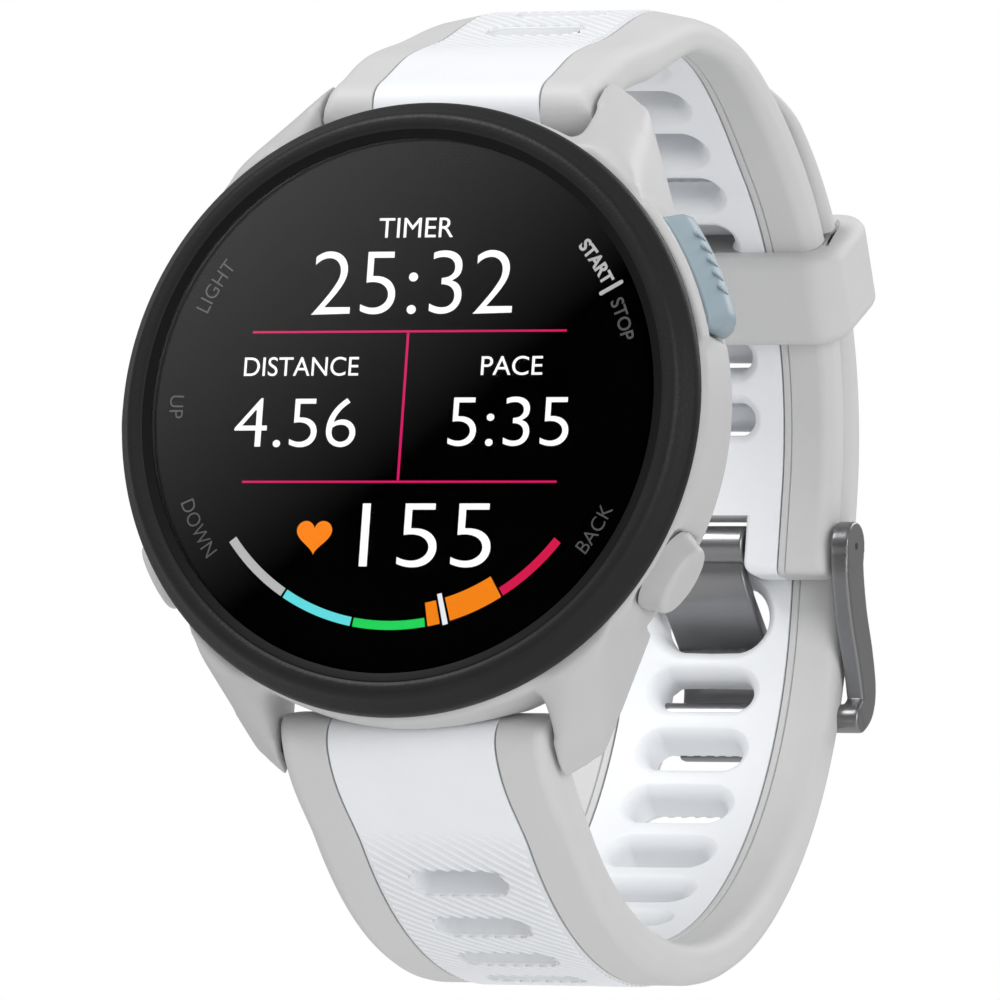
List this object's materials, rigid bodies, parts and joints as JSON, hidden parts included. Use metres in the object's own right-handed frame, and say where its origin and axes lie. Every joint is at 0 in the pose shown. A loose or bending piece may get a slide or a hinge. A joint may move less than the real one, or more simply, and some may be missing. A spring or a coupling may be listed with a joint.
{
  "type": "gps running watch",
  "caption": "Round GPS running watch with flank buttons, black bezel, lit display and a two-tone silicone quick-release strap closed on its buckle.",
  "frame": {"origin": "where the dial axis meets the wrist side of the back cover", "axes": "+X towards 3 o'clock, +Z towards 12 o'clock, +Y into the wrist, so the display faces -Y"},
  "size_m": [0.0452, 0.0654, 0.069],
  "materials": {
    "case_polymer": "fine satin, moulded",
    "bezel_black": "fine grain",
    "cover_glass": "polished",
    "display_black": "lit display",
    "display_light": "lit marks on the display",
    "label_ink": "ink under the glass",
    "adhesive": "matte",
    "gasket_black": "matte",
    "foam_black": "matte foam",
    "sheet_steel": "bright",
    "buckle_steel": "gunmetal, fine satin",
    "spring_steel": "drawn wire",
    "circuit_board": "solder mask",
    "flex_circuit": "polyimide",
    "battery_foil": "laminated foil",
    "frame_plastic": "moulded",
    "antenna_plate": "plated",
    "contact_gold": "plated",
    "back_polymer": "fine satin, moulded",
    "sensor_glass": "polished, dark",
    "emitter_lens": "clear resin",
    "detector_chip": "silicon",
    "port_plastic": "moulded",
    "vent_membrane": "porous film",
    "start_blue": "fine satin",
    "button_grey": "fine satin",
    "silicone_grey": "soft matte silicone",
    "silicone_white": "soft matte silicone"
  },
  "bodies": {
    "watch": {"case_middle": "case_polymer", "bezel": "bezel_black", "lens": "cover_glass", "lens_adhesive": "adhesive", "display_panel": "display_black", "display_backplate": "sheet_steel", "display_flex": "flex_circuit", "inner_frame": "frame_plastic", "battery": "battery_foil", "battery_pad": "foam_black", "main_board": "circuit_board", "shield_cans": "sheet_steel", "gnss_antenna": "antenna_plate", "piezo_sounder": "antenna_plate", "motor_can": "sheet_steel", "pressure_vent": "vent_membrane", "back_cover": "back_polymer", "back_gasket": "gasket_black", "back_screws": "spring_steel", "sensor_window": "sensor_glass", "sensor_board": "circuit_board", "sensor_emitters": "emitter_lens", "sensor_detectors": "detector_chip", "charge_port_insert": "port_plastic", "charge_contacts": "contact_gold", "button_seals": "gasket_black", "button_switches": "frame_plastic", "switch_flex": "flex_circuit", "start_spring": "spring_steel", "back_spring": "spring_steel", "light_spring": "spring_steel", "up_spring": "spring_steel", "down_spring": "spring_steel", "upper_bar_tube": "spring_steel", "upper_bar_spring": "spring_steel", "upper_strap_rails": "silicone_grey", "upper_strap_insert": "silicone_white", "lower_bar_tube": "spring_steel", "lower_bar_spring": "spring_steel", "lower_strap_rails": "silicone_grey", "lower_strap_insert": "silicone_white", "buckle_bar": "buckle_steel"},
    "motor_rotor": {"motor_rotor": "spring_steel"},
    "keeper": {"keeper": "silicone_grey"},
    "buckle_frame": {"buckle_frame": "buckle_steel"},
    "buckle_tongue": {"buckle_tongue": "buckle_steel"},
    "upper_release": {"upper_release_pin": "spring_steel"},
    "lower_release": {"lower_release_pin": "spring_steel"},
    "start_button": {"start_button": "start_blue", "start_clip": "spring_steel"},
    "back_button": {"back_button": "button_grey", "back_clip": "spring_steel"},
    "light_button": {"light_button": "button_grey", "light_clip": "spring_steel"},
    "up_button": {"up_button": "button_grey", "up_clip": "spring_steel"},
    "down_button": {"down_button": "button_grey", "down_clip": "spring_steel"}
  },
  "joints": [
    {"name": "start_press", "type": "slide", "parent": "watch", "child": "start_button", "axis": [-0.8878, 0, -0.4602], "range_m": [0, 0.0006], "stiffness_N_per_m": 1500, "springref_m": -0.0004, "deforming": ["start_spring"]},
    {"name": "back_press", "type": "slide", "parent": "watch", "child": "back_button", "axis": [-0.866, 0, 0.5], "range_m": [0, 0.0006], "stiffness_N_per_m": 1500, "springref_m": -0.0004, "deforming": ["back_spring"]},
    {"name": "light_press", "type": "slide", "parent": "watch", "child": "light_button", "axis": [0.866, 0, -0.5], "range_m": [0, 0.0006], "stiffness_N_per_m": 1500, "springref_m": -0.0004, "deforming": ["light_spring"]},
    {"name": "up_press", "type": "slide", "parent": "watch", "child": "up_button", "axis": [1, 0, 0], "range_m": [0, 0.0006], "stiffness_N_per_m": 1500, "springref_m": -0.0004, "deforming": ["up_spring"]},
    {"name": "down_press", "type": "slide", "parent": "watch", "child": "down_button", "axis": [0.866, 0, 0.5], "range_m": [0, 0.0006], "stiffness_N_per_m": 1500, "springref_m": -0.0004, "deforming": ["down_spring"]},
    {"name": "upper_release_slide", "type": "slide", "parent": "watch", "child": "upper_release", "axis": [-1, 0, 0], "range_m": [0, 0.0015], "stiffness_N_per_m": 300, "springref_m": -0.001, "deforming": ["upper_bar_spring"]},
    {"name": "lower_release_slide", "type": "slide", "parent": "watch", "child": "lower_release", "axis": [-1, 0, 0], "range_m": [0, 0.0015], "stiffness_N_per_m": 300, "springref_m": -0.001, "deforming": ["lower_bar_spring"]},
    {"name": "keeper_slide", "type": "hinge", "parent": "watch", "child": "keeper", "pos_m": [0, 0.0224, 0.0043], "axis": [1, 0, 0], "range_deg": [-24, 20]},
    {"name": "buckle_frame_turn", "type": "hinge", "parent": "watch", "child": "buckle_frame", "pos_m": [0, 0.04795, 0.0004], "axis": [1, 0, 0], "range_deg": [0, 6]},
    {"name": "buckle_tongue_turn", "type": "hinge", "parent": "watch", "child": "buckle_tongue", "pos_m": [0, 0.04795, 0.0004], "axis": [1, 0, 0], "range_deg": [0, 6]},
    {"name": "motor_spin", "type": "hinge", "parent": "watch", "child": "motor_rotor", "pos_m": [0.0133, -0.0031, 0], "axis": [0, 1, 0], "continuous": true}
  ],
  "couplings": [
    {"joint": "buckle_tongue_turn", "follows": "buckle_frame_turn", "ratio": 1}
  ]
}
